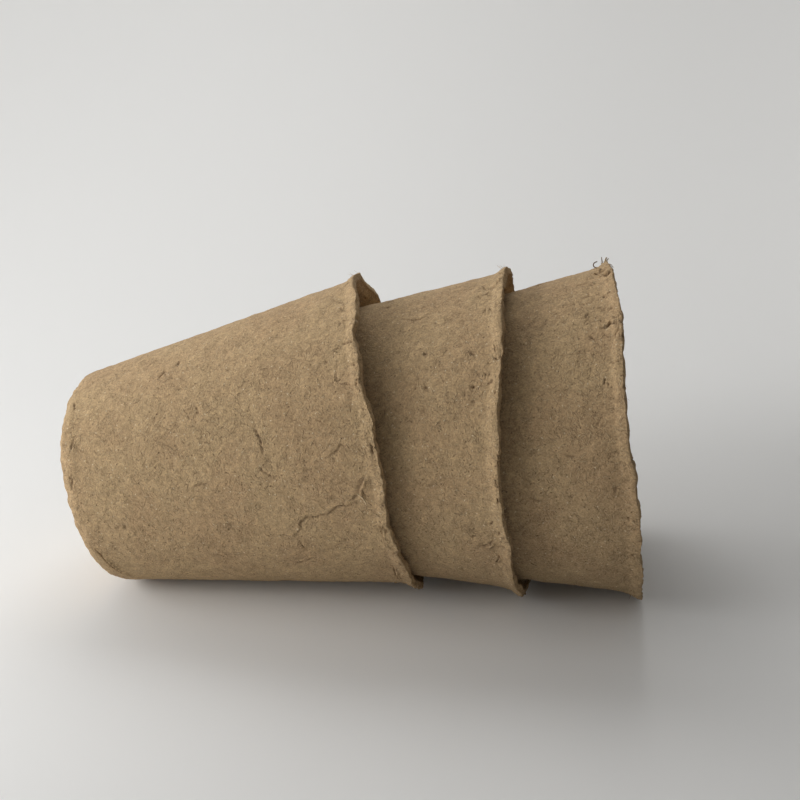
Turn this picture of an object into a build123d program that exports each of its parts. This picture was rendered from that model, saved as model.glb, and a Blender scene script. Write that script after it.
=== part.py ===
from build123d import *
from math import asin, atan2, cos, hypot, pi, radians, sin, sqrt, tan
import os

# Three alike round peat pots, pushed loosely into each other and lying on their side.
# Millimetres. +X runs from the outer pot's base towards the mouths, +Z is up, the pots
# lie on z = 0, and the origin is under the middle of the nest.

# One pot. The cone is given by the outside of its wall.
pot_height = 80.0
rim_radius = 40.0
base_radius = 27.4
wall = 1.8
base_edge_radius = 5.0  # outside of the round edge between wall and base
lip_length = 3.0  # the last stretch of wall, which turns outwards
lip_flare = 1.0  # how far the lip stands out past the cone
lip_bend_radius = 5.0
drain_radius = 4.0

# How the pots lie. The outer pot's turn swings its mouth towards -Y. The other two are
# turned from the axis of their holder, the pot around them, and a side step is how far
# a rim stands to the left of that axis. Turns are in degrees.
outer_turn = 4.5
middle_turn = 4.5
middle_side_step = -2.7
inner_turn = -1.8
inner_side_step = 0.7
nest_clearance = 0.3  # left where a pot leans on its holder

# Worked out from the sizes above. A level is a distance from the base along the axis.
cone_angle = atan2(rim_radius - base_radius, pot_height)
half_wall = wall / 2
lip_ring_radius = rim_radius + lip_flare - half_wall
lip_ring_level = pot_height - half_wall
lip_root_level = pot_height - lip_length


def cone_radius(level, depth=0.0):
    """Radius at a level of the wall, at a depth below its outside."""
    return base_radius + level * tan(cone_angle) - depth / cos(cone_angle)


edge_ring_radius = cone_radius(base_edge_radius, base_edge_radius)

# A pot touches what it lies on with the round of its lip or of its base edge:
# each is a ring, given by its radius, its level and how thick it is around its centre line.
lip_ring = (lip_ring_radius, lip_ring_level, half_wall)
edge_ring = (edge_ring_radius, base_edge_radius, base_edge_radius)

# The tilt of a pot that lies by itself, on both of its rings.
rings_apart = lip_ring_level - base_edge_radius
rings_flare = lip_ring_radius - edge_ring_radius
lying_tilt = atan2(rings_flare, rings_apart) - asin(
    (base_edge_radius - half_wall) / hypot(rings_flare, rings_apart)
)


def lying_pot(rim, turn, tilt):
    """Plane of a pot's base, its Z along the axis, with its lip on z = 0.

    The rim gives its place along X and Y, and a tilt raises its mouth above its base.
    """
    axis = Vector(cos(tilt) * cos(turn), -cos(tilt) * sin(turn), sin(tilt))
    rim_centre = Vector(rim.X, rim.Y, lip_ring_radius * cos(tilt) + half_wall)
    sideways = Vector(sin(turn), cos(turn), 0)
    return Plane(rim_centre - axis * lip_ring_level, x_dir=sideways, z_dir=axis)


def circle_points(pot, radius, level, share, count=60):
    """Points spread over the lowest share of a circle around a pot's axis."""
    centre = pot.origin + pot.z_dir * level
    for step in range(count):
        angle = pi * (share * (2 * step / count - 1) - 0.5)
        yield centre + (pot.x_dir * cos(angle) + pot.y_dir * sin(angle)) * radius


def level_and_radius(pot, point):
    """Where a point lies along a pot's axis, and how far from it."""
    from_base = point - pot.origin
    level = from_base.dot(pot.z_dir)
    return level, (from_base - pot.z_dir * level).length


def room_at_edge(holder, nested, share):
    """Least room between a nested pot's base edge and the holder's wall around it."""
    room = []
    for point in circle_points(nested, edge_ring_radius, base_edge_radius, share):
        level, radius = level_and_radius(holder, point)
        room.append((cone_radius(level, wall) - radius) * cos(cone_angle))
    return min(room) - base_edge_radius


def room_at_throat(holder, nested, share):
    """Least room between the inside of the holder's lip and a nested pot's wall."""
    room = []
    throat_radius = cone_radius(lip_root_level, wall)
    for point in circle_points(holder, throat_radius, lip_root_level, share):
        level, radius = level_and_radius(nested, point)
        room.append((radius - cone_radius(level)) * cos(cone_angle))
    return min(room)


def stands_clear(holder, nested, share=1.0):
    room = min(
        room_at_edge(holder, nested, share), room_at_throat(holder, nested, share)
    )
    return room > nest_clearance


def last_clear(clear, blocked, is_clear):
    """Closes in, from both ends, on the last value that is clear."""
    for _ in range(16):
        between = (clear + blocked) / 2
        if is_clear(between):
            clear = between
        else:
            blocked = between
    return clear


def resting_pot(holder, turn, side_step, step):
    """A pot with its lip on z = 0 that leans on the bottom of its holder.

    The step is how far its rim stands out from the holder's.
    """
    outwards = holder.x_dir.cross(Vector(0, 0, 1))
    rim = holder.origin + holder.z_dir * lip_ring_level
    rim += outwards * step + holder.x_dir * side_step
    turn += atan2(holder.x_dir.X, holder.x_dir.Y)
    tilt = last_clear(
        0,
        lying_tilt,
        lambda trial: stands_clear(holder, lying_pot(rim, turn, trial), share=0.25),
    )
    return lying_pot(rim, turn, tilt)


def nested_pot(holder, turn, side_step):
    """A resting pot, as deep in its holder as its sides go before they touch."""

    def is_clear(step):
        return stands_clear(holder, resting_pot(holder, turn, side_step, step))

    stride = wall
    step = wall / sin(cone_angle)
    while step < pot_height and not is_clear(step):
        step += stride
    step = last_clear(step, step - stride, is_clear)
    return resting_pot(holder, turn, side_step, step)


def reach(pot, direction):
    """How far a pot reaches along a unit vector, from the origin."""
    slant = sqrt(1 - pot.z_dir.dot(direction) ** 2)
    return max(
        (pot.origin + pot.z_dir * level).dot(direction) + radius * slant + tube
        for radius, level, tube in (lip_ring, edge_ring)
    )


outer = lying_pot(Vector(0, 0, 0), radians(outer_turn), lying_tilt)
middle = nested_pot(outer, radians(middle_turn), middle_side_step)
inner = nested_pot(middle, radians(inner_turn), inner_side_step)
nest = {"outer_pot": outer, "middle_pot": middle, "inner_pot": inner}

# The nest is centred on the origin.
nest_middle = Vector(0, 0, 0)
for direction in (Vector(1, 0, 0), Vector(0, 1, 0)):
    highest = max(reach(pot, direction) for pot in nest.values())
    lowest = -max(reach(pot, -direction) for pot in nest.values())
    nest_middle += direction * (highest + lowest) / 2
nest = {
    name: Plane(pot.origin - nest_middle, x_dir=pot.x_dir, z_dir=pot.z_dir)
    for name, pot in nest.items()
}

os.makedirs("parts", exist_ok=True)
for name, place in nest.items():
    section_plane = Plane(place.origin, x_dir=place.x_dir, z_dir=-place.y_dir)
    with BuildPart() as pot:
        # The wall's middle line, from the drain hole to the lip, given its thickness.
        with BuildSketch(section_plane):
            with BuildLine():
                FilletPolyline(
                    (drain_radius + half_wall, half_wall),
                    (cone_radius(half_wall, half_wall), half_wall),
                    (cone_radius(lip_root_level, half_wall), lip_root_level),
                    (lip_ring_radius, lip_ring_level),
                    radius=[base_edge_radius - half_wall, lip_bend_radius],
                )
                offset(amount=half_wall)
            make_face()
        revolve(axis=Axis(place.origin, place.z_dir))
    pot.part.label = name
    export_step(pot.part, f"parts/{name}.step")
    print(name, "base centre", place.origin, "axis", place.z_dir)
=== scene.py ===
import bpy
import bmesh
import random
import numpy as np
from math import atan, cos, hypot, radians, sin
from mathutils import Matrix, Vector


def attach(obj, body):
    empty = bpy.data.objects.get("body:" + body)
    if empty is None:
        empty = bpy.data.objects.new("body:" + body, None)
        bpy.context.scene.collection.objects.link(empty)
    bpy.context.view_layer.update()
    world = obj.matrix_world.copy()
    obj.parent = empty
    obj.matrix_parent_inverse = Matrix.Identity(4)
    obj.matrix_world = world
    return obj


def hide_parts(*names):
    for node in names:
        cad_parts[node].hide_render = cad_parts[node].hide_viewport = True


# Three moulded pulp pots, nested and lying on their side. Metres, in the frame of the CAD nodes.
# Places on a pot are (around, level): degrees about its axis, with 90 on top, 180 towards the
# camera and 270 below, and millimetres from its base.

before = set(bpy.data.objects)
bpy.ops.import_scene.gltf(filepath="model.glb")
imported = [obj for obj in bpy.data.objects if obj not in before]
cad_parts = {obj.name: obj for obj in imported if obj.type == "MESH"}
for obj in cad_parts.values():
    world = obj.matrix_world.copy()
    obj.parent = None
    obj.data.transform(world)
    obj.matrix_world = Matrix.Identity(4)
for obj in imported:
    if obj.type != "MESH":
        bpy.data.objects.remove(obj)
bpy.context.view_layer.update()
bpy.ops.object.select_all(action="DESELECT")
scene = bpy.context.scene
mm = 0.001

potShape = {
    "height": 80 * mm,
    "rimRadius": 40 * mm,
    "baseRadius": 27.4 * mm,
    "wall": 1.8 * mm,
    "baseEdge": 5 * mm,  # outside radius of the round between base and wall
    "lipLength": 3 * mm,
    "lipFlare": 1 * mm,
    "drainHole": 4 * mm,  # its radius
    "facesAround": 72,
    "rowHeight": 3.6 * mm,
    "baseRings": (0.01, 0.33, 0.66, 0.97),  # shares of the way from the hole to the round edge
    "edgeTurns": (20, 42, 64),  # degrees around that edge
    # The lip bends outwards, then runs on straight: (share of its length, share of its flare).
    "lipCurve": ((0.3, 0.25), (0.55, 0.7), (0.8, 0.96), (1.0, 1.0)),
    "outerCrease": 0.85,  # how sharp the lip's edge is on the outside and on the inside
    "innerCrease": 0.6,
    "smoothing": 2,
}

# Where each pot lies, in millimetres: the middle of its base, and the way its mouth points.
potPlaces = {
    "outer": {"base": (-68.8485, 10.3398, 26.9357), "mouth": (0.982339, -0.077312, 0.17039)},
    "middle": {"base": (-37.6981, 11.3822, 34.0589), "mouth": (0.984039, -0.155857, 0.085878)},
    "inner": {"base": (-11.7208, 5.46783, 35.0427), "mouth": (0.9894, -0.12499, 0.073927)},
}


def useOnly(obj):
    bpy.ops.object.select_all(action="DESELECT")
    obj.select_set(True)
    bpy.context.view_layer.objects.active = obj


def applyModifiers(obj):
    useOnly(obj)
    for modifier in list(obj.modifiers):
        bpy.ops.object.modifier_apply(modifier=modifier.name)


def coneRadius(level):
    # radius of the middle of the wall at a level, both in metres
    slope = (potShape["rimRadius"] - potShape["baseRadius"]) / potShape["height"]
    return potShape["baseRadius"] + level * slope - potShape["wall"] / 2 * hypot(1, slope)


def wallRings():
    # the middle of the wall from the drain hole to the lip, as (radius, level)
    half = potShape["wall"] / 2
    slope = atan((potShape["rimRadius"] - potShape["baseRadius"]) / potShape["height"])
    edge = potShape["baseEdge"]
    flat = coneRadius(edge) - (edge - half) / cos(slope)
    hole = potShape["drainHole"]
    rings = [(hole + share * (flat - hole), half) for share in potShape["baseRings"]]
    for turn in potShape["edgeTurns"]:
        bend = radians(turn)
        rings.append((flat + (edge - half) * sin(bend), edge - (edge - half) * cos(bend)))
    low = edge - (edge - half) * sin(slope)
    lipRoot = potShape["height"] - potShape["lipLength"]
    rows = round((lipRoot - low) / potShape["rowHeight"])
    for row in range(rows + 1):
        level = low + row * (lipRoot - low) / rows
        rings.append((coneRadius(level), level))
    for share, flare in potShape["lipCurve"]:
        level = lipRoot + share * potShape["lipLength"]
        rings.append((coneRadius(level) + potShape["lipFlare"] * flare, level))
    return rings


# How each rim departs from a true circle: (around, along the axis, outwards, how far the pull
# spreads), the last three in millimetres.
rimPulls = {
    "outer": [
        (36, -1.2, 0.0, 9),
        (48, -1.7, 0.3, 9),
        (60, -2.0, 0.2, 9),
        (72, -1.9, 0.0, 9),
        (84, -1.5, 0.0, 9),
        (96, -1.5, 0.0, 9),
        (108, -0.3, 0.0, 9),
        (120, 0.5, 0.0, 9),
        (125, -1.5, 0.3, 4.5),
        (132, -0.2, 0.0, 9),
        (144, -0.5, 0.2, 9),
        (156, 1.3, 0.0, 9),
        (168, 0.6, 0.0, 9),
        (180, 1.2, 0.2, 9),
        (192, -0.5, 0.1, 9),
        (204, 0.3, 0.2, 9),
        (216, 0.4, 0.0, 9),
        (228, 0.6, 0.2, 9),
        (250, 0.4, 1.3, 8),
    ],
    "middle": [
        (60, 0.3, 0.0, 9),
        (72, 0.7, 0.4, 9),
        (84, 0.4, 0.2, 9),
        (96, 0.3, 0.0, 9),
        (108, 0.3, 0.0, 9),
        (132, 0.3, 0.0, 9),
        (156, -1.5, 0.0, 9),
        (168, -1.8, 0.2, 9),
        (180, -1.3, 0.2, 9),
        (192, -1.6, 0.2, 9),
        (204, -0.8, 0.4, 9),
        (216, -1.1, 0.3, 9),
        (228, -1.1, 0.5, 9),
        (240, -0.8, 0.4, 9),
        (252, -0.5, 1.3, 8),
    ],
    "inner": [
        (82, -1.8, 1.5, 46),
        (70, 0.3, 0.9, 5),
        (96, -0.4, 0.0, 9),
        (108, -1.1, 0.0, 9),
        (118, -1.6, 0.1, 9),
        (132, -0.7, 0.1, 9),
        (144, -1.2, -0.3, 9),
        (156, -0.5, -0.5, 9),
        (168, -0.2, -0.6, 9),
        (180, 0.0, -0.6, 9),
        (192, 0.0, -0.6, 9),
        (204, 0.2, -0.5, 9),
        (216, 1.0, -0.4, 9),
        (228, 0.9, -0.2, 9),
        (240, 0.8, 0.2, 9),
        (252, 2.0, 1.4, 8),
    ],
}


def pullRim(pot, around, along, outwards, spread):
    turn = radians(around)
    rimFrom = potShape["height"] - 0.5 * mm
    mesh = bmesh.from_edit_mesh(pot.data)
    bpy.ops.mesh.select_all(action="DESELECT")
    rim = [v for v in mesh.verts if v.co.z > rimFrom]
    nearest = max(rim, key=lambda v: v.co.x * cos(turn) + v.co.y * sin(turn))
    nearest.select = True
    bmesh.update_edit_mesh(pot.data)
    bpy.ops.transform.translate(
        value=(outwards * mm * cos(turn), outwards * mm * sin(turn), along * mm),
        use_proportional_edit=True,
        proportional_edit_falloff="SMOOTH",
        proportional_size=spread * mm,
    )


def modelPot(name):
    rings = wallRings()
    bpy.ops.mesh.primitive_circle_add(
        vertices=potShape["facesAround"], radius=rings[0][0], location=(0, 0, 0)
    )
    pot = bpy.context.object
    pot.name = name + "Pulp"
    bpy.ops.object.mode_set(mode="EDIT")
    bpy.context.tool_settings.mesh_select_mode = (True, False, False)
    bpy.ops.mesh.select_all(action="SELECT")
    bpy.ops.transform.translate(value=(0, 0, rings[0][1]))
    for before, ring in zip(rings, rings[1:]):
        bpy.ops.mesh.extrude_edges_move(
            TRANSFORM_OT_translate={"value": (0, 0, ring[1] - before[1])}
        )
        grow = ring[0] / before[0]
        bpy.ops.transform.resize(value=(grow, grow, 1), center_override=(0, 0, ring[1]))
    for pull in rimPulls[name]:
        pullRim(pot, *pull)
    bpy.ops.mesh.select_all(action="SELECT")
    bpy.ops.mesh.normals_make_consistent(inside=False)
    bpy.ops.object.mode_set(mode="OBJECT")
    shell = pot.modifiers.new("wall", "SOLIDIFY")
    shell.thickness = potShape["wall"]
    shell.offset = 0
    shell.use_even_offset = True
    shell.edge_crease_outer = potShape["outerCrease"]
    shell.edge_crease_inner = potShape["innerCrease"]
    finer = pot.modifiers.new("finer", "SUBSURF")
    finer.levels = finer.render_levels = potShape["smoothing"]
    applyModifiers(pot)
    return pot


# Torn and lifted marks: points along each, how wide and deep it is and how far its upper side
# stands up, in millimetres. A single point is a pit.
marks = {
    "outer": [
        ([(197.8, 4.2), (204.9, 4.9), (212.5, 5.4), (221.6, 6.4), (231, 8.4)], 0.25, 1.3, 0.55),
        ([(101.7, 25.6), (104.6, 24.2)], 0.25, 0.5, 0.2),
        ([(113.4, 29.6), (117.5, 27.8)], 0.28, 0.6, 0.2),
        ([(109.4, 33.3), (113.4, 32.6)], 0.28, 0.6, 0.2),
        ([(115.5, 4.2), (121, 4.7)], 0.28, 0.5, 0.2),
        ([(138.5, 5.2), (144, 4.4)], 0.28, 0.5, 0.2),
        ([(156, 2.6), (158.6, 4), (163.5, 3.5)], 0.25, 0.4, 0.2),
        ([(170, 35.3), (168.9, 37.4), (169.5, 39.6)], 0.2, 0.35, 0.1),
        ([(203.6, 35), (206, 36.8), (209.2, 38)], 0.2, 0.35, 0.1),
        ([(164.3, 39.4)], 0.32, 0.5, 0),
        ([(183.4, 15.3), (186.6, 14.8)], 0.22, 0.35, 0),
        ([(150.6, 52.6), (155.1, 53.9), (160.8, 54.1)], 0.25, 0.5, 0.15),
        ([(165.2, 52.5), (167.6, 53.5), (169.9, 55.4)], 0.2, 0.4, 0.1),
        ([(152, 67.8), (154.5, 69.7)], 0.2, 0.4, 0.1),
        ([(165.8, 69.2), (163.6, 72), (161.9, 72.9), (164.8, 74.5)], 0.22, 0.35, 0.2),
        ([(173.6, 76.9), (177.3, 75.1), (180.2, 74.2)], 0.3, 0.6, 0.5),
        ([(181.4, 72.6), (179.4, 74.5)], 0.2, 0.4, 0.1),
        (
            [(195.6, 56.2), (191.8, 59.1), (189.4, 58.9), (186.8, 60.9), (186.8, 63.4)]
            + [(185.9, 66.6), (183.5, 68.8), (183.3, 72.2), (182.3, 74.2)],
            0.24,
            0.4,
            0.22,
        ),
        ([(197.3, 57.6), (200, 57.6), (203.4, 58.4)], 0.24, 0.5, 0.1),
        ([(213, 53.6), (210.6, 56.1), (207.5, 59)], 0.24, 0.4, 0.2),
        ([(198.2, 68.4)], 0.3, 0.5, 0),
        ([(127.4, 76), (129, 78.6)], 0.28, 0.6, 0.1),
        ([(132.7, 71.7)], 0.3, 0.5, 0),
        ([(190, 78), (196, 77.6), (203, 77.9)], 0.22, 0.35, 0.4),
        ([(214, 77.4), (222, 76.9), (229, 77.3)], 0.22, 0.4, 0.4),
        ([(243, 77.6), (247, 78.4), (250, 79)], 0.26, 0.7, 0.3),
    ],
    "middle": [
        ([(95.2, 51.2)], 0.36, 0.7, 0),
        ([(128.9, 62.2)], 0.34, 0.7, 0),
        ([(131.7, 73.4)], 0.36, 0.8, 0),
        ([(134.7, 78.4)], 0.36, 0.8, 0),
        ([(141.9, 62.4)], 0.34, 0.7, 0),
        ([(143.6, 73.3)], 0.36, 0.8, 0),
        ([(146.4, 78.3)], 0.34, 0.8, 0),
        ([(138.4, 60.7)], 0.28, 0.4, 0),
        ([(150.2, 61.7)], 0.28, 0.4, 0),
        ([(108.2, 55.3), (111, 58.8), (111.4, 60.4), (110, 61.9)], 0.2, 0.4, 0.12),
        ([(197.4, 75.2), (199.8, 73.9), (202, 71.4)], 0.3, 0.6, 0.5),
    ],
    "inner": [
        ([(76, 74), (82, 75.6)], 0.3, 0.6, 0.2),
        ([(87.5, 74.8), (90.5, 75.2), (90.5, 76.6)], 0.46, 1.3, 0.9),
        ([(93.5, 76.2), (95.5, 77), (94, 78)], 0.4, 1.2, 0.7),
        ([(100.5, 77.2)], 0.3, 0.5, 0),
        ([(121.9, 74.3), (121.8, 75.7), (120.7, 76.4), (122.3, 77.9)], 0.26, 0.5, 0.35),
        ([(114.1, 75.4)], 0.32, 0.6, 0),
        ([(107.5, 75.7)], 0.28, 0.5, 0),
        ([(81.5, 60.8)], 0.3, 0.5, 0),
        ([(175.8, 75.4), (178.9, 74.7)], 0.24, 0.6, 0),
    ],
}
drawnMarks = {
    "steps": (0.33, 0.67, 1.0),  # where a line between two points gets uneven, as torn pulp is
    "unevenness": 0.16,  # in millimetres, and less at the points themselves
    "pointUnevenness": 0.05,
    "turnOfAMillimetre": 1.6,  # degrees
}
strayMarks = {
    "length": (0.6, 3.2),
    "width": (0.13, 0.22),
    "depth": (0.15, 0.42),
    "heading": 0.9,  # radians that most of them turn from the way around the pot
    "wobble": 0.6,  # and each point of them from that
    "arcTurn": 57.3,  # degrees in an arc as long as its radius
    "lipLevel": 79,  # those that are scattered up to it are deeper
    "lipDepth": 1.4,
    "inside": 0.25,  # the share that is on the inside
    "lift": 0.7,  # how far the upper side stands up at most, as a share of the depth
}
# Where they lie: around from and to, level from and to, how many.
nearLip = [(0, 360, 73, 79.5, 40), (0, 360, 78, 80, 24)]
strayPlaces = {
    "outer": [(0, 360, 3, 77, 90), *nearLip, (100, 140, 70, 79, 10), (190, 245, 3, 9, 8)],
    "middle": [(0, 360, 3, 77, 85), *nearLip, (110, 150, 70, 79, 12), (190, 240, 70, 79, 12)],
    "inner": [(0, 360, 3, 77, 85), *nearLip, (70, 130, 70, 79, 26), (150, 230, 74, 79, 8)],
}
markForm = {
    "margin": (4, 2),  # the box around a mark that it can reach into: degrees and millimetres
    "finerReach": 0.9,  # millimetres beside it where the mesh is made finer
    "finerCuts": 2,
    "endFade": 5,  # it gets shallower over a fifth of its length at each end,
    "endDepth": 0.25,  # down to this share of its depth
    "unevenDepth": 0.28,  # how much its depth varies, in waves
    "unevenWaves": (1.7, 5),  # radians for each degree and for each millimetre of level
    "liftPlace": 1.9,  # the middle, the spread and the end of its raised side, in widths
    "liftSpread": 1.6,
    "liftEnd": 4,
    "fullShadeDepth": 0.5,  # millimetres of depth at which a groove's painted shade is darkest
}


def scatterMarks(name):
    # short marks, some of them on the inside, different on each pot
    dice = random.Random(name)
    wobble = strayMarks["wobble"]
    found = []
    for aroundFrom, aroundTo, levelFrom, levelTo, count in strayPlaces[name]:
        deeper = strayMarks["lipDepth"] if levelTo >= strayMarks["lipLevel"] else 1
        for _ in range(count):
            around, level = dice.uniform(aroundFrom, aroundTo), dice.uniform(levelFrom, levelTo)
            length = dice.uniform(*strayMarks["length"])
            heading = dice.gauss(0, strayMarks["heading"])
            radius = coneRadius(level * mm) / mm
            points = []
            for share in (-0.5, -0.15, 0.15, 0.5):
                bend = heading + dice.uniform(-wobble, wobble)
                turned = share * length * cos(bend) / radius * strayMarks["arcTurn"]
                points.append((around + turned, level + share * length * sin(bend)))
            width = dice.uniform(*strayMarks["width"])
            depth = dice.uniform(*strayMarks["depth"]) * deeper
            inside = dice.random() < strayMarks["inside"]
            lift = depth * dice.uniform(0, strayMarks["lift"])
            found.append((points, width, depth, lift, inside))
    return found


def roughLine(points, dice):
    turn = drawnMarks["turnOfAMillimetre"]
    rough = [points[0]]
    for start, end in zip(points, points[1:]):
        for share in drawnMarks["steps"]:
            shift = drawnMarks["unevenness"] if share < 1 else drawnMarks["pointUnevenness"]
            around = start[0] + share * (end[0] - start[0]) + dice.uniform(-turn, turn) * shift
            level = start[1] + share * (end[1] - start[1]) + dice.uniform(-1, 1) * shift
            rough.append((around, level))
    return rough


def aroundMark(places, points):
    # which places lie in the box around a mark, with a margin
    beyond, above = markForm["margin"]
    first = points[0][0]
    turns = [(around - first + 180) % 360 - 180 for around, _ in points]
    levels = [level for _, level in points]
    turned = (places[:, 0] - first + 180) % 360 - 180
    beside = (turned > min(turns) - beyond) & (turned < max(turns) + beyond)
    return beside & (places[:, 1] > min(levels) - above) & (places[:, 1] < max(levels) + above)


def markDistance(places, points):
    # for each place: how far it is from the mark, on which side, and how far along it, 0 to 1
    middle = points[len(points) // 2]
    radius = coneRadius(middle[1] * mm) / mm
    turned = (places[:, 0] - middle[0] + 180) % 360 - 180
    flat = np.stack([np.radians(turned) * radius, places[:, 1]], 1)
    line = np.array([(radians(a - middle[0]) * radius, level) for a, level in points])
    if len(line) == 1:
        away = np.hypot(*(flat - line[0]).T)
        return away, away, np.full(len(flat), 0.5)
    lengths = np.hypot(*(line[1:] - line[:-1]).T)
    best = np.full(len(flat), np.inf)
    side, along = best.copy(), best.copy()
    done = 0
    for start, end, length in zip(line, line[1:], lengths):
        step = (end - start) / length
        onto = np.clip((flat - start) @ step, 0, length)
        gap = flat - start - onto[:, None] * step
        away = np.hypot(*gap.T)
        closer = away < best
        best[closer] = away[closer]
        side[closer] = (gap @ np.array([-step[1], step[0]]))[closer]
        along[closer] = ((done + onto) / lengths.sum())[closer]
        done += length
    return best, side, along


def meshPlaces(pot):
    # where each vertex is, which way it faces, its (around, level), and whether it is outside
    count = len(pot.data.vertices)
    spots = np.zeros(count * 3)
    facing = np.zeros(count * 3)
    pot.data.vertices.foreach_get("co", spots)
    pot.data.vertices.foreach_get("normal", facing)
    spots, facing = spots.reshape(-1, 3), facing.reshape(-1, 3)
    around = np.degrees(np.arctan2(spots[:, 1], spots[:, 0])) % 360
    places = np.stack([around, spots[:, 2] / mm], 1)
    wallRadii, levels = np.array(wallRings()[len(potShape["baseRings"]):]).T
    wallRadius = np.interp(spots[:, 2], levels, wallRadii)
    outside = np.hypot(spots[:, 0], spots[:, 1]) > wallRadius
    return spots, facing, places, outside


def makeFinerAt(pot, drawn):
    # the faces near the marks are subdivided
    _, _, places, outside = meshPlaces(pot)
    near = np.zeros(len(places), bool)
    for points, width, _, _, inside in drawn:
        close = np.flatnonzero(aroundMark(places, points) & (outside != inside))
        away, _, _ = markDistance(places[close], points)
        near[close[away < markForm["finerReach"] + width]] = True
    useOnly(pot)
    bpy.ops.object.mode_set(mode="EDIT")
    bpy.context.tool_settings.mesh_select_mode = (False, False, True)
    bpy.ops.mesh.select_all(action="DESELECT")
    bpy.ops.object.mode_set(mode="OBJECT")
    corners = near.tolist()
    for face in pot.data.polygons:
        face.select = all(corners[v] for v in face.vertices)
    bpy.ops.object.mode_set(mode="EDIT")
    bpy.ops.mesh.subdivide(number_cuts=markForm["finerCuts"], ngon=False)
    bpy.context.tool_settings.mesh_select_mode = (True, False, False)
    bpy.ops.object.mode_set(mode="OBJECT")


def pressMarks(pot, name):
    dice = random.Random(name + "Lines")
    drawn = [(roughLine(mark[0], dice), *mark[1:], False) for mark in marks[name]]
    drawn += scatterMarks(name)
    makeFinerAt(pot, drawn)
    spots, facing, places, outside = meshPlaces(pot)
    push = np.zeros(len(spots))
    dark = np.zeros(len(spots))
    endDepth, uneven = markForm["endDepth"], markForm["unevenDepth"]
    waveAround, waveAlong = markForm["unevenWaves"]
    for points, width, depth, lift, inside in drawn:
        close = np.flatnonzero(aroundMark(places, points) & (outside != inside))
        away, side, along = markDistance(places[close], points)
        ends = 1.0
        if len(points) > 1:
            ends = np.clip(np.minimum(along, 1 - along) * markForm["endFade"], 0, 1)
        wave = np.sin(places[close, 0] * waveAround + waveAlong * places[close, 1])
        fade = (endDepth + (1 - endDepth) * ends) * (1 - uneven + uneven * wave)
        groove = np.exp(-((away / width) ** 2)) * fade
        fromRidge = (side - markForm["liftPlace"] * width) / (markForm["liftSpread"] * width)
        raised = np.exp(-(fromRidge ** 2)) * (away < markForm["liftEnd"] * width) * fade
        push[close] += -depth * groove + lift * raised * (side > 0)
        # painted shade: each groove and pit darkens the tone, more the deeper it is, as shade
        # falls in it
        paintedGrooveShade = groove * min(1.0, depth / markForm["fullShadeDepth"])
        dark[close] = np.maximum(dark[close], paintedGrooveShade)
    spots += facing * (push * mm)[:, None]
    pot.data.vertices.foreach_set("co", spots.ravel())
    shade = pot.data.attributes.new("grooveShade", "FLOAT", "POINT")
    shade.data.foreach_set("value", dark.astype(np.float32))
    pot.data.update()


# Lumps all over: (their size, how far they move the pulp).
relief = {
    "dents": (24 * mm, 0.55 * mm),
    "lumps": (6 * mm, 0.36 * mm),
    "pulp": (2.0 * mm, 0.34 * mm),
}
# The same for the torn edges of the lip and the drain hole, with the way that the pulp moves.
lipRelief = {
    "waves": (9 * mm, 1.3 * mm, "RGB_TO_XYZ"),
    "tears": (3.2 * mm, 0.85 * mm, "Z"),
    "fray": (1.5 * mm, 0.7 * mm, "RGB_TO_XYZ"),
    "crumbs": (0.8 * mm, 0.3 * mm, "RGB_TO_XYZ"),
}
lipReach = {
    "down": 4.5 * mm,  # how far below the lip's edge the pulp is torn
    "fading": 1.6,
    "bands": 10,
    "baseLevel": 3 * mm,  # below it, the edge of the drain hole is torn instead
    "hole": 0.6,  # how torn that edge is, where the lip's is 1
    "aroundHole": 2 * mm,
}
# The knocked round edge of the base.
footRelief = {
    "edge": (26.3 * mm, 1.2 * mm),  # its radius and level
    "reach": 6 * mm,
    "size": 2.4 * mm,
    "strength": 1.0 * mm,
}


def addClouds(pot, name, size, strength, direction, group=""):
    clouds = bpy.data.textures.new(name, "CLOUDS")
    clouds.noise_scale = size
    clouds.noise_depth = 2
    clouds.cloud_type = "COLOR" if direction == "RGB_TO_XYZ" else "GRAYSCALE"
    push = pot.modifiers.new(name, "DISPLACE")
    push.texture = clouds
    push.texture_coords = "GLOBAL"
    push.direction = direction
    push.strength = strength
    push.mid_level = 0.5
    push.vertex_group = group


def groupEdges(pot):
    # how much of the lip's and of the foot's relief each vertex gets
    lip = pot.vertex_groups.new(name="lip")
    foot = pot.vertex_groups.new(name="foot")
    edgeRadius, edgeLevel = footRelief["edge"]
    last = lipReach["bands"]
    bands = {}
    for v in pot.data.vertices:
        radius = hypot(v.co.x, v.co.y)
        fromEdge = hypot(radius - edgeRadius, v.co.z - edgeLevel)
        if fromEdge < footRelief["reach"]:
            foot.add([v.index], 1 - fromEdge / footRelief["reach"], "REPLACE")
        torn = (v.co.z - (potShape["height"] - lipReach["down"])) / lipReach["down"]
        if v.co.z < lipReach["baseLevel"]:
            torn = lipReach["hole"] - (radius - potShape["drainHole"]) / lipReach["aroundHole"]
        if torn > 0:
            bands.setdefault(min(last, int(torn * last) + 1), []).append(v.index)
    for band, members in bands.items():
        lip.add(members, (band / last) ** lipReach["fading"], "REPLACE")


def roughen(pot):
    groupEdges(pot)
    for name, (size, strength) in relief.items():
        addClouds(pot, name, size, strength, "NORMAL")
    for name, (size, strength, direction) in lipRelief.items():
        addClouds(pot, name, size, strength, direction, "lip")
    addClouds(pot, "knocks", footRelief["size"], footRelief["strength"], "NORMAL", "foot")
    applyModifiers(pot)


def potAxes(name):
    # sideways, upwards and out of the mouth
    mouth = Vector(potPlaces[name]["mouth"]).normalized()
    sideways = Vector((-mouth.y, mouth.x, 0)).normalized()
    return sideways, mouth.cross(sideways), mouth


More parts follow.
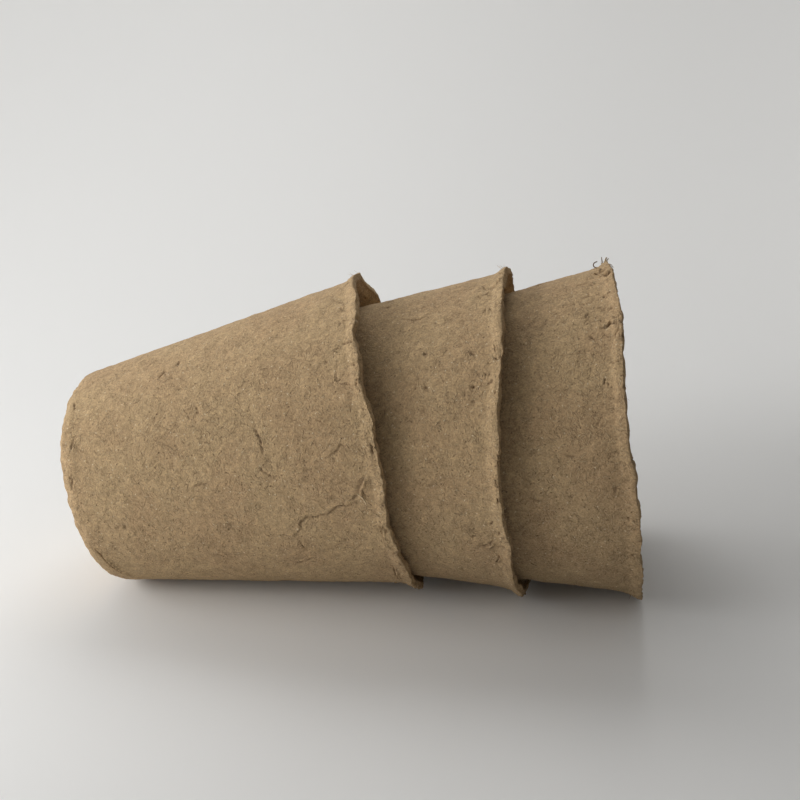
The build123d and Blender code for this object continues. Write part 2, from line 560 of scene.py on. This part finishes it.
def placePot(pot, name):
    pot.rotation_mode = "QUATERNION"
    pot.rotation_quaternion = Matrix(potAxes(name)).transposed().to_quaternion()
    pot.location = Vector(potPlaces[name]["base"]) * mm
    bpy.context.view_layer.update()


def restOnFloor(pot):
    # what hangs below the surface is pressed flat on it
    mesh = bmesh.from_edit_mesh(pot.data)
    bpy.ops.mesh.select_all(action="DESELECT")
    low = [v for v in mesh.verts if v.co.z < 0]
    for v in low:
        v.select = True
    bmesh.update_edit_mesh(pot.data)
    if low:
        bpy.ops.transform.resize(value=(1, 1, 0), center_override=(0, 0, 0))


pots = {}
for name in potPlaces:
    pot = modelPot(name)
    pressMarks(pot, name)
    placePot(pot, name)
    roughen(pot)
    useOnly(pot)
    bpy.ops.object.transform_apply(location=True, rotation=True, scale=True)
    bpy.ops.object.mode_set(mode="EDIT")
    restOnFloor(pot)
    bpy.ops.object.mode_set(mode="OBJECT")
    bpy.ops.object.shade_smooth()
    pots[name] = pot
    pot.data.calc_loop_triangles()
    print(name, "pot made,", len(pot.data.loop_triangles), "triangles")


# Points along each kind of loose fibre, for one that is a unit long.
fibreShapes = {
    "bowed": [(0, 0, 0), (0.35, 0.06, 0.1), (0.7, 0.02, 0.2), (1, -0.12, 0.24)],
    "hooked": [(0, 0, 0), (0.4, -0.05, 0.12), (0.75, 0.1, 0.3), (0.8, 0.34, 0.42)],
    "wavy": [(0, 0, 0), (0.3, 0.1, 0.06), (0.65, -0.06, 0.12), (1, 0.1, 0.3)],
    "curled": [(0, 0, 0), (0.1, 0.05, 0.6), (0.5, 0.0, 0.9), (0.95, -0.05, 0.6), (0.9, 0, 0.1)],
}
# How thick it is, and how much of that it loses up to its tip.
fibreThickness = {"fine": (0.055, 0.75), "coarse": (0.16, 0.4), "flake": (0.26, 0.4)}


def modelFibre(kind, thickness, taper):
    # bevelled along a curve, then made a mesh
    bpy.ops.curve.primitive_nurbs_path_add(location=(0, 0, 0))
    fibre = bpy.context.object
    fibre.name = kind + "Fibre"
    line = fibre.data.splines[0]
    wanted = fibreShapes[kind]
    while len(line.points) < len(wanted):
        line.points.add(1)
    bpy.ops.object.mode_set(mode="EDIT")
    bpy.ops.curve.select_all(action="DESELECT")
    for point in fibre.data.splines[0].points[len(wanted):]:
        point.select = True
    bpy.ops.curve.delete(type="VERT")
    bpy.ops.object.mode_set(mode="OBJECT")
    line = fibre.data.splines[0]
    for number, (point, place) in enumerate(zip(line.points, wanted)):
        point.co = (*place, 1)
        point.radius = 1 - taper * number / (len(wanted) - 1)
    line.order_u = 3
    line.use_endpoint_u = True
    fibre.data.resolution_u = 3
    fibre.data.bevel_depth = thickness / 2
    fibre.data.bevel_resolution = 0
    fibre.data.use_fill_caps = True
    useOnly(fibre)
    bpy.ops.object.convert(target="MESH")
    return bpy.context.object


def pointOn(pot, name, around, level, inside):
    # where a straight line towards the axis, or from it, meets the pot, and which way the pulp
    # faces there
    sideways, upwards, mouth = potAxes(name)
    turn = radians(around)
    away = sideways * cos(turn) + upwards * sin(turn)
    centre = Vector(potPlaces[name]["base"]) * mm + mouth * level * mm
    start = centre + away * (0 if inside else 1.5 * potShape["rimRadius"])
    hit, spot, facing, _ = pot.ray_cast(start, away if inside else -away)
    if not hit:
        hit, spot, facing, _ = pot.closest_point_on_mesh(centre + away * coneRadius(level * mm))
    return spot, facing, mouth


strayFibres = {
    "onRim": 70,
    "rimLevel": 79.4,
    "belowRim": 0.7,
    "rimKinds": ("bowed", "hooked", "wavy"),
    "rimLength": (0.5, 1.6),
    "rimSteepness": (5, 45),
    "rimPale": 0.6,  # the share of them that is pale
    "onWall": 60,
    "wallLevel": (6, 76),
    "wallKinds": ("bowed", "wavy"),
    "wallLength": (0.8, 2.4),
    "wallSteepness": (-6, 4),
    "wallPale": 0.5,
    "inside": 0.3,
    "rootDepth": 0.08 * mm,
}
# The fibres that the photo shows: (around, level, heading, shape, length, how steeply it stands,
# pale, how thick), in degrees and millimetres. A heading of 0 points towards the mouth, and 90
# further around the pot.
namedFibres = {
    "outer": [
        (179.6, 74.4, -52, "bowed", 3.2, 6, True, "coarse"),
        (72, 77.6, 150, "bowed", 1.7, 40, True, "fine"),
        (75, 77.0, 170, "wavy", 1.9, 35, True, "fine"),
        (69, 78.0, 120, "hooked", 1.5, 50, True, "fine"),
        (80, 77.4, 200, "wavy", 1.6, 45, True, "fine"),
        (205, 78.6, 20, "bowed", 1.6, 20, True, "fine"),
        (188, 78.2, 100, "wavy", 2.0, 12, True, "coarse"),
    ],
    "middle": [
        (74, 79.2, 90, "hooked", 1.9, 60, True, "fine"),
        (70, 79.4, 60, "bowed", 2.0, 55, True, "fine"),
        (77, 78.8, 180, "hooked", 2.0, 55, True, "fine"),
        (56, 79.6, 10, "wavy", 1.8, 30, True, "fine"),
        (53, 79.6, -20, "bowed", 1.6, 40, True, "fine"),
        (58, 79.6, 40, "hooked", 1.4, 30, False, "fine"),
        (103.6, 74.9, 0, "wavy", 1.9, 3, True, "coarse"),
    ],
    "inner": [
        (71, 76.4, 10, "curled", 1.8, 75, False, "flake"),
        (70, 77.9, -60, "hooked", 1.7, 35, True, "flake"),
        (73, 78.0, 150, "wavy", 1.5, 35, True, "flake"),
        (66, 78.6, 30, "hooked", 1.4, 35, False, "coarse"),
        (72, 76.8, -20, "wavy", 2.0, 40, False, "coarse"),
        (71, 77.4, 10, "bowed", 2.0, 30, True, "flake"),
        (70, 78.2, 60, "hooked", 1.7, 60, True, "coarse"),
        (68, 78.4, 0, "bowed", 1.5, 60, True, "coarse"),
        (74, 77.6, 100, "hooked", 1.3, 50, False, "fine"),
        (213.4, 55, 10, "bowed", 1.9, 3, True, "coarse"),
    ],
}


def layFibre(
    pot, name, around, level, heading, kind, length, steep, pale, thick="fine", inside=False
):
    spot, facing, mouth = pointOn(pot, name, around, level, inside)
    onward = (mouth - facing * mouth.dot(facing)).normalized()
    across = facing.cross(onward)
    turn, rise = radians(heading), radians(steep)
    flat = onward * cos(turn) + across * sin(turn)
    lengthways = flat * cos(rise) + facing * sin(rise)
    upwards = facing * cos(rise) - flat * sin(rise)
    fibre = fibreKinds[kind, thick].copy()
    fibre.data = fibreKinds[kind, thick].data.copy()
    scene.collection.objects.link(fibre)
    turned = Matrix((lengthways, upwards.cross(lengthways), upwards)).transposed().to_4x4()
    root = Matrix.Translation(spot - facing * strayFibres["rootDepth"])
    laid = root @ turned @ Matrix.Scale(length * mm, 4)
    lowest = min((laid @ v.co).z for v in fibre.data.vertices)
    lift = Matrix.Translation((0, 0, max(0, -lowest)))  # none hangs below the surface
    fibre.matrix_world = lift @ laid
    fibre.data.materials.clear()
    fibre.data.materials.append(paleFibre if pale else barkFibre)
    return fibre


def modelFibres(pot, name):
    dice = random.Random(name + "Fibres")
    stray = strayFibres
    laid = [layFibre(pot, name, *fibre) for fibre in namedFibres[name]]
    for _ in range(stray["onRim"]):
        around = dice.uniform(0, 360)
        level = stray["rimLevel"] - abs(dice.gauss(0, stray["belowRim"]))
        heading, kind = dice.uniform(-180, 180), dice.choice(stray["rimKinds"])
        length, steep = dice.uniform(*stray["rimLength"]), dice.uniform(*stray["rimSteepness"])
        pale = dice.random() < stray["rimPale"]
        laid.append(layFibre(pot, name, around, level, heading, kind, length, steep, pale))
    for _ in range(stray["onWall"]):
        around, level = dice.uniform(0, 360), dice.uniform(*stray["wallLevel"])
        heading, kind = dice.uniform(-180, 180), dice.choice(stray["wallKinds"])
        length, steep = dice.uniform(*stray["wallLength"]), dice.uniform(*stray["wallSteepness"])
        pale, inside = dice.random() < stray["wallPale"], dice.random() < stray["inside"]
        fibre = (around, level, heading, kind, length, steep, pale)
        laid.append(layFibre(pot, name, *fibre, inside=inside))
    bpy.ops.object.select_all(action="DESELECT")
    for fibre in laid:
        fibre.select_set(True)
    bpy.context.view_layer.objects.active = laid[0]
    bpy.ops.object.join()
    fibres = bpy.context.object
    fibres.name = name + "Fibres"
    bpy.ops.object.transform_apply(location=True, rotation=True, scale=True)
    bpy.ops.object.shade_smooth()
    return fibres


pulpLook = {
    "tan": (0.4, 0.281, 0.154, 1),
    "pink": (0.38, 0.259, 0.142, 1),
    "straw": (0.58, 0.44, 0.27, 1),
    "bark": (0.13, 0.08, 0.045, 1),
    "bright": (0.7, 0.58, 0.4, 1),
    "roughness": 0.92,
    "gloss": 0.25,
    "bumpStrength": 0.9,
    "bumpHeight": 0.25 * mm,
    # Each kind of cloud: its size, detail and roughness, and where its pattern starts.
    "clouds": {
        "patches": (14 * mm, 3, 0.5, (0.11, 0.02, 0.05)),
        "mottle": (1.6 * mm, 3, 0.6, (0.31, 0.12, 0.25)),
        "grain": (0.42 * mm, 2, 0.6, (0.51, 0.32, 0.45)),
        "folds": (2.6 * mm, 3, 0.55, (0.71, 0.52, 0.15)),
        "creased": (5 * mm, 2, 0.5, (0.91, 0.42, 0.35)),  # where the folds show
    },
    "mottleTone": (0.84, 1.16),
    "grainTone": (0.72, 1.28),
    "paintedShadeTone": (1.06, 0.82),  # painted shade: lighter high up at the base and darker low down at the mouths, as the light falls off there
    "paintedShadeWay": (0.6, 0, -0.8),
    "paintedShadeReach": 0.03,
    "foldWidth": 0.035,
    # painted shade along the fold lines: how far they darken the tone
    "foldShadeTone": 0.14,
    # painted shade in the grooves and pits: how far it darkens the tone
    "grooveShadeTone": 0.9,
    # What lies flat in the pulp, from the lowest up: the size of its cells, which hold one at
    # most, its length and width in millimetres, the share of the cells that hold one, where its
    # pattern starts, its tone and how strongly that shows.
    "flatFibres": {
        "dark": (2.2, 1.4, 0.2, 0.45, (0.7, 0.5, 0.2), "bark", 0.36),
        "fine": (1.0, 0.9, 0.16, 0.6, (0.4, 0.3, 0.1), "straw", 0.45),
        "pale": (1.5, 1.5, 0.24, 0.6, (0.2, 0.1, 0.3), "straw", 0.5),
        "specks": (2.6, 0.42, 0.34, 0.5, (0.9, 0.2, 0.6), "bark", 0.55),
        "brightSpecks": (3.0, 0.5, 0.3, 0.4, (0.6, 0.8, 0.4), "bright", 0.7),
    },
    # How much each of them raises the pulp, as a share of the bump's height.
    "raises": {
        "grain": 0.8,
        "mottle": 0.9,
        "pale": 0.35,
        "specks": -0.6,
        "dark": -0.4,
        "folds": -0.45,
    },
}


def addNode(tree, kind, inputs=None, **settings):
    made = tree.nodes.new(kind)
    for key, value in settings.items():
        setattr(made, key, value)
    for key, value in (inputs or {}).items():
        if isinstance(value, bpy.types.NodeSocket):
            tree.links.new(value, made.inputs[key])
        else:
            made.inputs[key].default_value = value
    return made


def maths(tree, operation, first, second=0.0):
    return addNode(tree, "ShaderNodeMath", {0: first, 1: second}, operation=operation).outputs[0]


def vectorMaths(tree, operation, first, second=(0, 0, 0), output="Vector"):
    inputs = {0: first, 1: second}
    return addNode(tree, "ShaderNodeVectorMath", inputs, operation=operation).outputs[output]


def ease(tree, value, low, high, toLow=0.0, toHigh=1.0):
    inputs = {"Value": value, "From Min": low, "From Max": high, "To Min": toLow, "To Max": toHigh}
    made = addNode(tree, "ShaderNodeMapRange", inputs, interpolation_type="SMOOTHSTEP")
    return made.outputs["Result"]


def mixTone(tree, share, under, over, blend="MIX"):
    inputs = {0: share, 6: under, 7: over}
    made = addNode(tree, "ShaderNodeMix", inputs, data_type="RGBA", blend_type=blend)
    return made.outputs[2]


def shadeTone(tree, tone, shade):
    grey = addNode(tree, "ShaderNodeCombineXYZ", {"X": shade, "Y": shade, "Z": shade}).outputs[0]
    return mixTone(tree, 1.0, tone, grey, "MULTIPLY")


fieldShape = {
    "bend": 900.0,  # how strongly the fibres bend
    "softSides": 0.4,  # shares of the width and of the length where they start to fade
    "softEnds": 0.6,
}


def makeFibreField():
    # short bent fibres that lie flat in the surface, one at most in each cell
    tree = bpy.data.node_groups.new("fibreField", "ShaderNodeTree")
    tree.interface.new_socket(name="Vector", in_out="INPUT", socket_type="NodeSocketVector")
    for name in ("Cells", "Length", "Width", "Share"):
        tree.interface.new_socket(name=name, in_out="INPUT", socket_type="NodeSocketFloat")
    tree.interface.new_socket(name="Mask", in_out="OUTPUT", socket_type="NodeSocketFloat")
    given = tree.nodes.new("NodeGroupInput").outputs
    inputs = {"Vector": given["Vector"], "Scale": given["Cells"]}
    cells = addNode(tree, "ShaderNodeTexVoronoi", inputs).outputs
    facing = addNode(tree, "ShaderNodeNewGeometry").outputs["Normal"]
    offset = vectorMaths(tree, "SUBTRACT", given["Vector"], cells["Position"])
    scattered = vectorMaths(tree, "SUBTRACT", cells["Color"], (0.5, 0.5, 0.5))
    crossed = vectorMaths(tree, "CROSS_PRODUCT", facing, scattered)
    sideways = vectorMaths(tree, "NORMALIZE", crossed)
    lengthways = vectorMaths(tree, "CROSS_PRODUCT", sideways, facing)
    along = vectorMaths(tree, "DOT_PRODUCT", offset, lengthways, "Value")
    across = vectorMaths(tree, "DOT_PRODUCT", offset, sideways, "Value")
    parts = addNode(tree, "ShaderNodeSeparateXYZ", {"Vector": scattered}).outputs
    squared = maths(tree, "MULTIPLY", along, along)
    bend = maths(tree, "MULTIPLY", parts["X"], fieldShape["bend"])
    bent = maths(tree, "ADD", across, maths(tree, "MULTIPLY", squared, bend))
    fromLine = maths(tree, "ABSOLUTE", bent)
    fullWidth = maths(tree, "MULTIPLY", given["Width"], fieldShape["softSides"])
    fromMiddle = maths(tree, "ABSOLUTE", along)
    fullLength = maths(tree, "MULTIPLY", given["Length"], fieldShape["softEnds"])
    thin = ease(tree, fromLine, given["Width"], fullWidth)
    short = ease(tree, fromMiddle, given["Length"], fullLength)
    picked = maths(tree, "LESS_THAN", maths(tree, "ADD", parts["Z"], 0.5), given["Share"])
    mask = maths(tree, "MULTIPLY", maths(tree, "MULTIPLY", thin, short), picked)
    result = tree.nodes.new("NodeGroupOutput")
    tree.links.new(mask, result.inputs["Mask"])
    return tree


def newMaterial(name, roughness, gloss):
    material = bpy.data.materials.new(name)
    material.use_nodes = True
    shader = material.node_tree.nodes["Principled BSDF"]
    shader.inputs["Roughness"].default_value = roughness
    shader.inputs["Specular IOR Level"].default_value = gloss
    return material, material.node_tree, shader


def makePulp():
    look = pulpLook
    material, tree, shader = newMaterial("pulp", look["roughness"], look["gloss"])
    spot = addNode(tree, "ShaderNodeTexCoord").outputs["Object"]

    def shifted(shift):
        return addNode(tree, "ShaderNodeMapping", {"Vector": spot, "Location": shift}).outputs[0]

    def clouds(size, detail, rough, shift):
        inputs = {"Vector": shifted(shift), "Scale": 1 / size, "Detail": detail}
        inputs["Roughness"] = rough
        return addNode(tree, "ShaderNodeTexNoise", inputs).outputs["Fac"]

    def flatFibres(cell, length, width, share, shift):
        inputs = {"Vector": shifted(shift), "Cells": 1 / (cell * mm), "Share": share}
        inputs.update({"Length": length / 2 * mm, "Width": width / 2 * mm})
        made = addNode(tree, "ShaderNodeGroup", inputs, node_tree=fibreField)
        return made.outputs["Mask"]

    layers = {name: clouds(*settings) for name, settings in look["clouds"].items()}
    fromFold = maths(tree, "ABSOLUTE", maths(tree, "SUBTRACT", layers["folds"], 0.5))
    creased = ease(tree, layers["creased"], 0.42, 0.58)
    foldLine = ease(tree, fromFold, look["foldWidth"], 0.0)
    layers["folds"] = maths(tree, "MULTIPLY", foldLine, creased)

    tone = mixTone(tree, ease(tree, layers["patches"], 0.35, 0.65), look["tan"], look["pink"])
    mottle = ease(tree, layers["mottle"], 0.25, 0.75, *look["mottleTone"])
    grain = ease(tree, layers["grain"], 0.2, 0.8, *look["grainTone"])
    tone = shadeTone(tree, tone, maths(tree, "MULTIPLY", mottle, grain))
    # painted shade: the tone darkens towards the mouths and downwards, where less light reaches
    lower = vectorMaths(tree, "DOT_PRODUCT", spot, look["paintedShadeWay"], "Value")
    shadeByPlace = ease(tree, lower, -look["paintedShadeReach"], look["paintedShadeReach"], *look["paintedShadeTone"])
    tone = shadeTone(tree, tone, shadeByPlace)
    for name, (*settings, colour, strength) in look["flatFibres"].items():
        layers[name] = flatFibres(*settings)
        tone = mixTone(tree, maths(tree, "MULTIPLY", layers[name], strength), tone, look[colour])
    # painted shade in the pressed grooves and pits, read from the mesh
    grooveShadeMask = addNode(tree, "ShaderNodeAttribute", attribute_name="grooveShade").outputs["Fac"]
    # painted shade: the tone darkens along the fold lines and in the grooves and pits
    for mask, strength in ((layers["folds"], look["foldShadeTone"]), (grooveShadeMask, look["grooveShadeTone"])):
        tone = mixTone(tree, maths(tree, "MULTIPLY", mask, strength), tone, look["bark"])
    tree.links.new(tone, shader.inputs["Base Color"])

    rise = 0.0
    for name, share in look["raises"].items():
        rise = maths(tree, "ADD", rise, maths(tree, "MULTIPLY", layers[name], share))
    inputs = {"Strength": look["bumpStrength"], "Distance": look["bumpHeight"], "Height": rise}
    bump = addNode(tree, "ShaderNodeBump", inputs)
    tree.links.new(bump.outputs["Normal"], shader.inputs["Normal"])
    return material


fibreLook = {
    "pale": pulpLook["straw"],
    "bark": (0.2, 0.125, 0.07, 1),
    "darker": 0.62,  # the darkest parts, as a share of the tone
    "patchSize": 0.9 * mm,
    "roughness": 0.75,
    "gloss": 0.3,
}


def makeFibre(name, tone):
    # its tone varies from fibre to fibre and a little along each
    material, tree, shader = newMaterial(name, fibreLook["roughness"], fibreLook["gloss"])
    spot = addNode(tree, "ShaderNodeTexCoord").outputs["Object"]
    inputs = {"Vector": spot, "Scale": 1 / fibreLook["patchSize"], "Detail": 2}
    patches = addNode(tree, "ShaderNodeTexNoise", inputs).outputs["Fac"]
    darker = tuple(fibreLook["darker"] * part for part in tone[:3]) + (1,)
    varied = mixTone(tree, ease(tree, patches, 0.3, 0.7), tone, darker)
    tree.links.new(varied, shader.inputs["Base Color"])
    return material


fibreField = makeFibreField()
pulp = makePulp()
paleFibre = makeFibre("paleFibre", fibreLook["pale"])
barkFibre = makeFibre("barkFibre", fibreLook["bark"])
print("pulp and fibre materials made")
fibreKinds = {}
for kind in fibreShapes:
    for thick, (thickness, taper) in fibreThickness.items():
        fibreKinds[kind, thick] = modelFibre(kind, thickness, taper)
for name, pot in pots.items():
    pot.data.materials.append(pulp)
    body = name + "_pot"
    fibres = modelFibres(pot, name)
    for piece in (pot, fibres):
        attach(piece, body)
    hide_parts(body)
    print(name, "fibres laid,", len(fibres.data.polygons), "faces")
for fibre in fibreKinds.values():
    bpy.data.objects.remove(fibre)

studio = {
    "cameraPlace": (11.33 * mm, -253.67 * mm, 142.7 * mm),
    "lookDown": 20.15,
    "roll": -1.94,
    "lens": 48.2,
    "sensor": 36,
    "sheetSize": (40, 12),
    "sheetHeight": 3,
    "wallPlace": 0.41,
    "bendRadius": 0.25,
    "paper": (0.8, 0.8, 0.79, 1),
    "paperRoughness": 0.8,
    "paperGloss": 0.2,
    "roomTone": (1, 0.96, 0.9, 1),
    "roomLight": 0.15,
    # Where each softbox stands, what it is turned to, its size in metres and its watts.
    "lights": [
        ((-0.35, -0.1, 0.15), (0, 0, 0.04), 0.25, 0.85),
        ((-0.55, 0.2, 0.3), (0, 0, 0.04), 0.4, 0.9),
        ((-0.3, -0.25, 0.25), (0, 0, 0.04), 0.2, 0.2),
        ((-0.25, 0.29, 0.5), (0, 0, 0.04), 0.3, 0.4),
        ((0, 0.2, 0.4), (0, 0, 0.04), 0.25, 0.5),
        ((0, -0.8, 0.4), (0, 0, 0.04), 0.6, 0.15),
        ((0.42, 0.08, 0.2), (0.44, 0.41, 0.16), 0.3, 0.45),
    ],
}
cameraData = bpy.data.cameras.new("camera")
cameraData.lens = studio["lens"]
cameraData.sensor_width = studio["sensor"]
cameraData.clip_start = 0.01
cameraData.clip_end = 20
camera = bpy.data.objects.new("camera", cameraData)
scene.collection.objects.link(camera)
camera.location = studio["cameraPlace"]
camera.rotation_mode = "ZYX"
camera.rotation_euler = (radians(90 - studio["lookDown"]), 0, radians(studio["roll"]))
scene.camera = camera

# A sheet of paper that bends up behind the pots: a plane with its back edge raised.
bpy.ops.mesh.primitive_plane_add(size=1, location=(0, 0, 0))
paperSheet = bpy.context.object
paperSheet.name = "floor"
bpy.ops.object.mode_set(mode="EDIT")
bpy.context.tool_settings.mesh_select_mode = (False, True, False)
bpy.ops.mesh.select_all(action="SELECT")
width, depth = studio["sheetSize"]
bpy.ops.transform.resize(value=(width, depth, 1), center_override=(0, 0, 0))
bpy.ops.transform.translate(value=(0, studio["wallPlace"] - depth / 2, 0))
sheet = bmesh.from_edit_mesh(paperSheet.data)
bpy.ops.mesh.select_all(action="DESELECT")
max(sheet.edges, key=lambda edge: sum(v.co.y for v in edge.verts)).select = True
bmesh.update_edit_mesh(paperSheet.data)
bpy.ops.mesh.extrude_edges_move(
    TRANSFORM_OT_translate={"value": (0, 0, studio["sheetHeight"])}
)
sheet = bmesh.from_edit_mesh(paperSheet.data)
bpy.ops.mesh.select_all(action="DESELECT")
for edge in sheet.edges:
    if all(abs(v.co.y - studio["wallPlace"]) < mm and abs(v.co.z) < mm for v in edge.verts):
        edge.select = True
bmesh.update_edit_mesh(paperSheet.data)
bpy.ops.mesh.bevel(offset=studio["bendRadius"], segments=16, affect="EDGES")
bpy.ops.object.mode_set(mode="OBJECT")
bpy.ops.object.shade_smooth()
paper, _, paperShader = newMaterial("paper", studio["paperRoughness"], studio["paperGloss"])
paperShader.inputs["Base Color"].default_value = studio["paper"]
paperSheet.data.materials.append(paper)

for place, aim, size, watts in studio["lights"]:
    bpy.ops.object.light_add(type="AREA", location=place)
    softbox = bpy.context.object
    softbox.data.size = size
    softbox.data.energy = watts
    softbox.visible_camera = False
    softbox.rotation_euler = (Vector(aim) - softbox.location).to_track_quat("-Z", "Y").to_euler()
world = bpy.data.worlds.new("room")
scene.world = world
world.use_nodes = True
roomShader = world.node_tree.nodes["Background"]
roomShader.inputs["Color"].default_value = studio["roomTone"]
roomShader.inputs["Strength"].default_value = studio["roomLight"]
scene.view_settings.view_transform = "Standard"
print("camera, paper and lights set")
